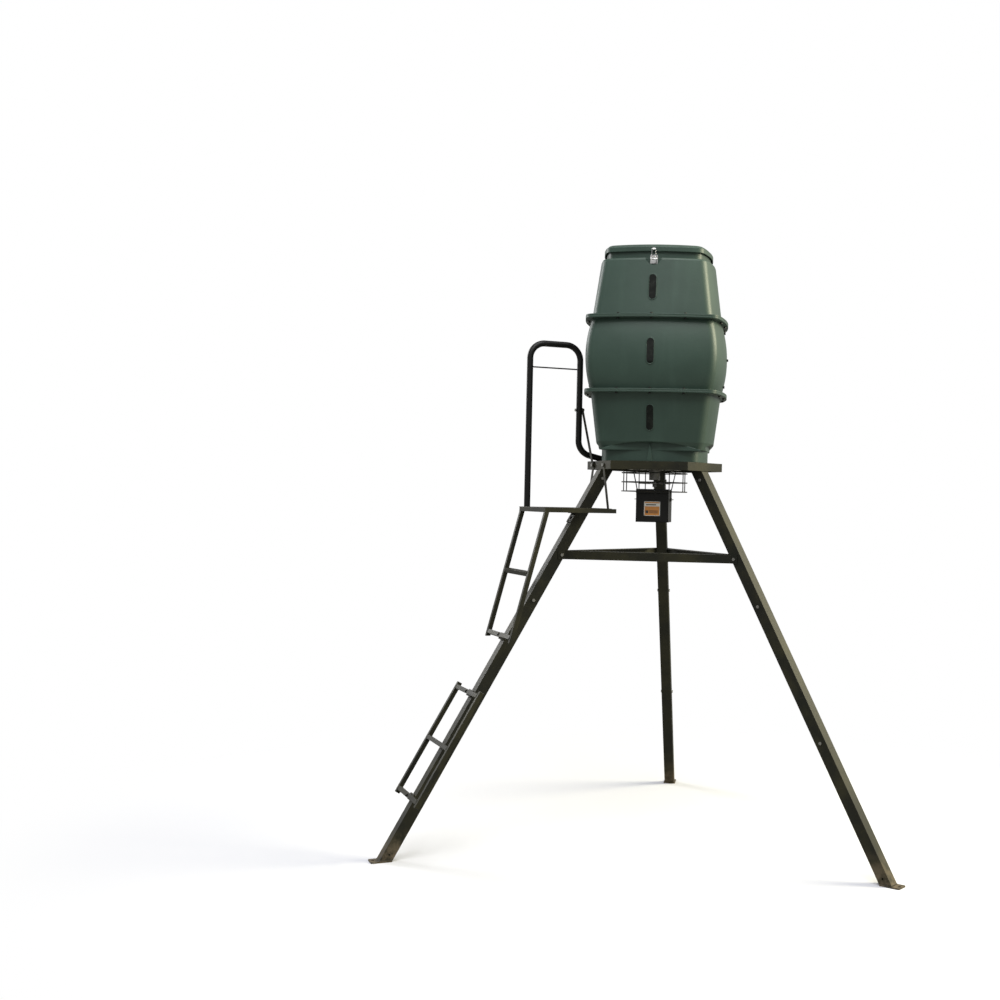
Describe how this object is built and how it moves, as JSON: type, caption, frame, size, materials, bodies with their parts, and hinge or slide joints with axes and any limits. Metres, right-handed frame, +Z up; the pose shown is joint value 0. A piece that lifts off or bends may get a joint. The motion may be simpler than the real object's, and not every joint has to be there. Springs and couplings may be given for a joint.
{
  "type": "game feeder",
  "caption": "Tripod-mounted game feeder with a stacked plastic hopper, battery spin-cast unit in a wire cage, access ladder, standing platform and grab rail.",
  "frame": {"origin": "ground level on the stand's vertical axis, the centre of the three foot plates' stake-hole circle", "axes": "+Z up along the hopper; -Y towards the front, where the latch and the windows are; +X to the viewer's right seen from the front; the ladder leg points to -X -Y"},
  "size_m": [2.2668, 2.0174, 2.728],
  "materials": {
    "hopper_plastic": "dark green roto-moulded plastic, fine grain",
    "window_plastic": "smoked clear plastic",
    "latch_chrome": "plated, slightly worn",
    "motor_steel": "bare can",
    "zinc_steel": "zinc plated",
    "battery_case": "moulded case",
    "timer_case": "moulded case with a display",
    "label_face": null,
    "fastener_zinc": "zinc plated",
    "box_paint": "dark powder coat",
    "cage_paint": "dark powder coat",
    "hinge_steel": "plated",
    "frame_paint": "dark bronze powder coat"
  },
  "bodies": {
    "stand": {"battery": "battery_case", "box_straps": "box_paint", "brace_bolts": "fastener_zinc", "brace_front": "frame_paint", "brace_left": "frame_paint", "brace_right": "frame_paint", "cage_bolts": "fastener_zinc", "control_box": "box_paint", "door_pin": "fastener_zinc", "flange_bolts": "fastener_zinc", "grab_rail": "frame_paint", "hanger_bolts": "fastener_zinc", "hopper_bolts": "fastener_zinc", "ladder_bolts": "fastener_zinc", "ladder_brackets": "frame_paint", "latch_base": "latch_chrome", "leg_bolts": "fastener_zinc", "leg_left_lower": "frame_paint", "leg_left_middle": "frame_paint", "leg_left_upper": "frame_paint", "leg_rear_lower": "frame_paint", "leg_rear_middle": "frame_paint", "leg_rear_upper": "frame_paint", "leg_right_lower": "frame_paint", "leg_right_middle": "frame_paint", "leg_right_upper": "frame_paint", "lid_hinge_pin": "fastener_zinc", "lower_ladder": "frame_paint", "lower_tub": "hopper_plastic", "middle_back": "hopper_plastic", "middle_front": "hopper_plastic", "motor": "motor_steel", "platform_deck": "frame_paint", "platform_frame": "frame_paint", "platform_hangers": "frame_paint", "platform_shelf": "frame_paint", "rail_strap": "frame_paint", "seam_bolts": "fastener_zinc", "spout": "zinc_steel", "spout_screws": "zinc_steel", "strap_bolts": "fastener_zinc", "timer": "timer_case", "top_frame": "frame_paint", "tub_hinge_leaf": "hinge_steel", "upper_ladder": "frame_paint", "upper_tub": "hopper_plastic", "varmint_cage": "cage_paint", "window_lower": "window_plastic", "window_middle": "window_plastic", "window_upper": "window_plastic", "wing_bolts": "fastener_zinc"},
    "lid": {"lid": "hopper_plastic", "lid_hinge_leaf": "hinge_steel", "lid_keeper": "latch_chrome"},
    "latch_lever": {"latch_lever": "latch_chrome"},
    "latch_bail": {"latch_bail": "latch_chrome"},
    "box_door": {"box_door": "box_paint", "label_plate": "label_face"},
    "spinner": {"spinner": "zinc_steel"}
  },
  "joints": [
    {"name": "lid_hinge", "type": "hinge", "parent": "stand", "child": "lid", "pos_m": [0, 0.261, 2.69], "axis": [-1, 0, 0], "range_deg": [0, 110]},
    {"name": "latch_lever_pivot", "type": "hinge", "parent": "stand", "child": "latch_lever", "pos_m": [0, -0.246, 2.645], "axis": [-1, 0, 0], "range_deg": [0, 90]},
    {"name": "latch_bail_pivot", "type": "hinge", "parent": "latch_lever", "child": "latch_bail", "pos_m": [0, -0.26, 2.645], "axis": [1, 0, 0], "range_deg": [0, 117]},
    {"name": "door_hinge", "type": "hinge", "parent": "stand", "child": "box_door", "pos_m": [0, -0.0805, 1.593], "axis": [-1, 0, 0], "range_deg": [0, 80]},
    {"name": "spinner_spin", "type": "hinge", "parent": "stand", "child": "spinner", "pos_m": [0, 0, 1.62], "axis": [0, 0, 1], "continuous": true}
  ],
  "couplings": [
    {"joint": "latch_bail_pivot", "follows": "latch_lever_pivot", "ratio": 1.3}
  ]
}
